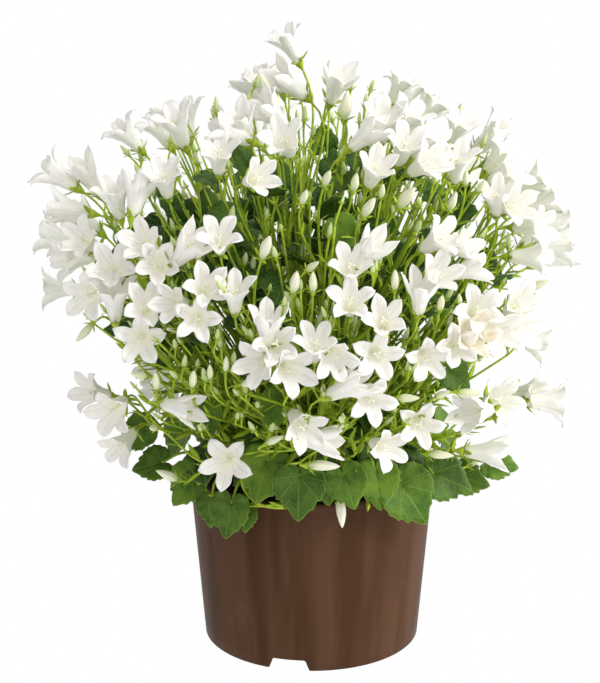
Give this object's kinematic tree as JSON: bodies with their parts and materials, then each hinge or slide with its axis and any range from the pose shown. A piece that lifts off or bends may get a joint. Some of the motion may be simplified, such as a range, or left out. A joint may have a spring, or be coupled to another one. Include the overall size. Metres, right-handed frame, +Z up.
{
  "type": "potted dalmatian bellflower",
  "caption": "Compact domed bellflower with white five-lobed bells, heart-shaped toothed leaves and green stalks, standing in a tapered round nursery pot.",
  "frame": {"origin": "on the ground, at the middle of the pot's foot ring and of the whole object's box", "axes": "+Z up along the pot's axis, -Y towards the side that the picture shows, +X to its right"},
  "size_m": [0.2643, 0.2564, 0.2992],
  "materials": {
    "plastic": "satin brown moulded plastic",
    "peat": "dark crumbly potting soil",
    "petal": "soft white petal",
    "foliage": "fresh green leaf and stalk"
  },
  "bodies": {
    "root": {"pot": "plastic", "soil": "peat", "bells_01": "petal", "bells_02": "petal", "bells_03": "petal", "bells_04": "petal", "bells_05": "petal", "bells_06": "petal", "bells_07": "petal", "bells_08": "petal", "bells_09": "petal", "bells_10": "petal", "bells_11": "petal", "bells_12": "petal", "bells_13": "petal", "bells_14": "petal", "bells_15": "petal", "bells_16": "petal", "bells_17": "petal", "bells_18": "petal", "bells_19": "petal", "bells_20": "petal", "bells_21": "petal", "bells_22": "petal", "bells_23": "petal", "bells_24": "petal", "bells_25": "petal", "bells_26": "petal", "bells_27": "petal", "bells_28": "petal", "bells_29": "petal", "bells_30": "petal", "bells_31": "petal", "bells_32": "petal", "bells_33": "petal", "bells_34": "petal", "bells_35": "petal", "bells_36": "petal", "bells_37": "petal", "bells_38": "petal", "bells_39": "petal", "bells_40": "petal", "bells_41": "petal", "bells_42": "petal", "bells_43": "petal", "bells_44": "petal", "bells_45": "petal", "bells_46": "petal", "bells_47": "petal", "bells_48": "petal", "bells_49": "petal", "bells_50": "petal", "tuft_01": "foliage", "tuft_02": "foliage", "tuft_03": "foliage", "tuft_04": "foliage", "tuft_05": "foliage", "tuft_06": "foliage", "tuft_07": "foliage"}
  },
  "joints": []
}
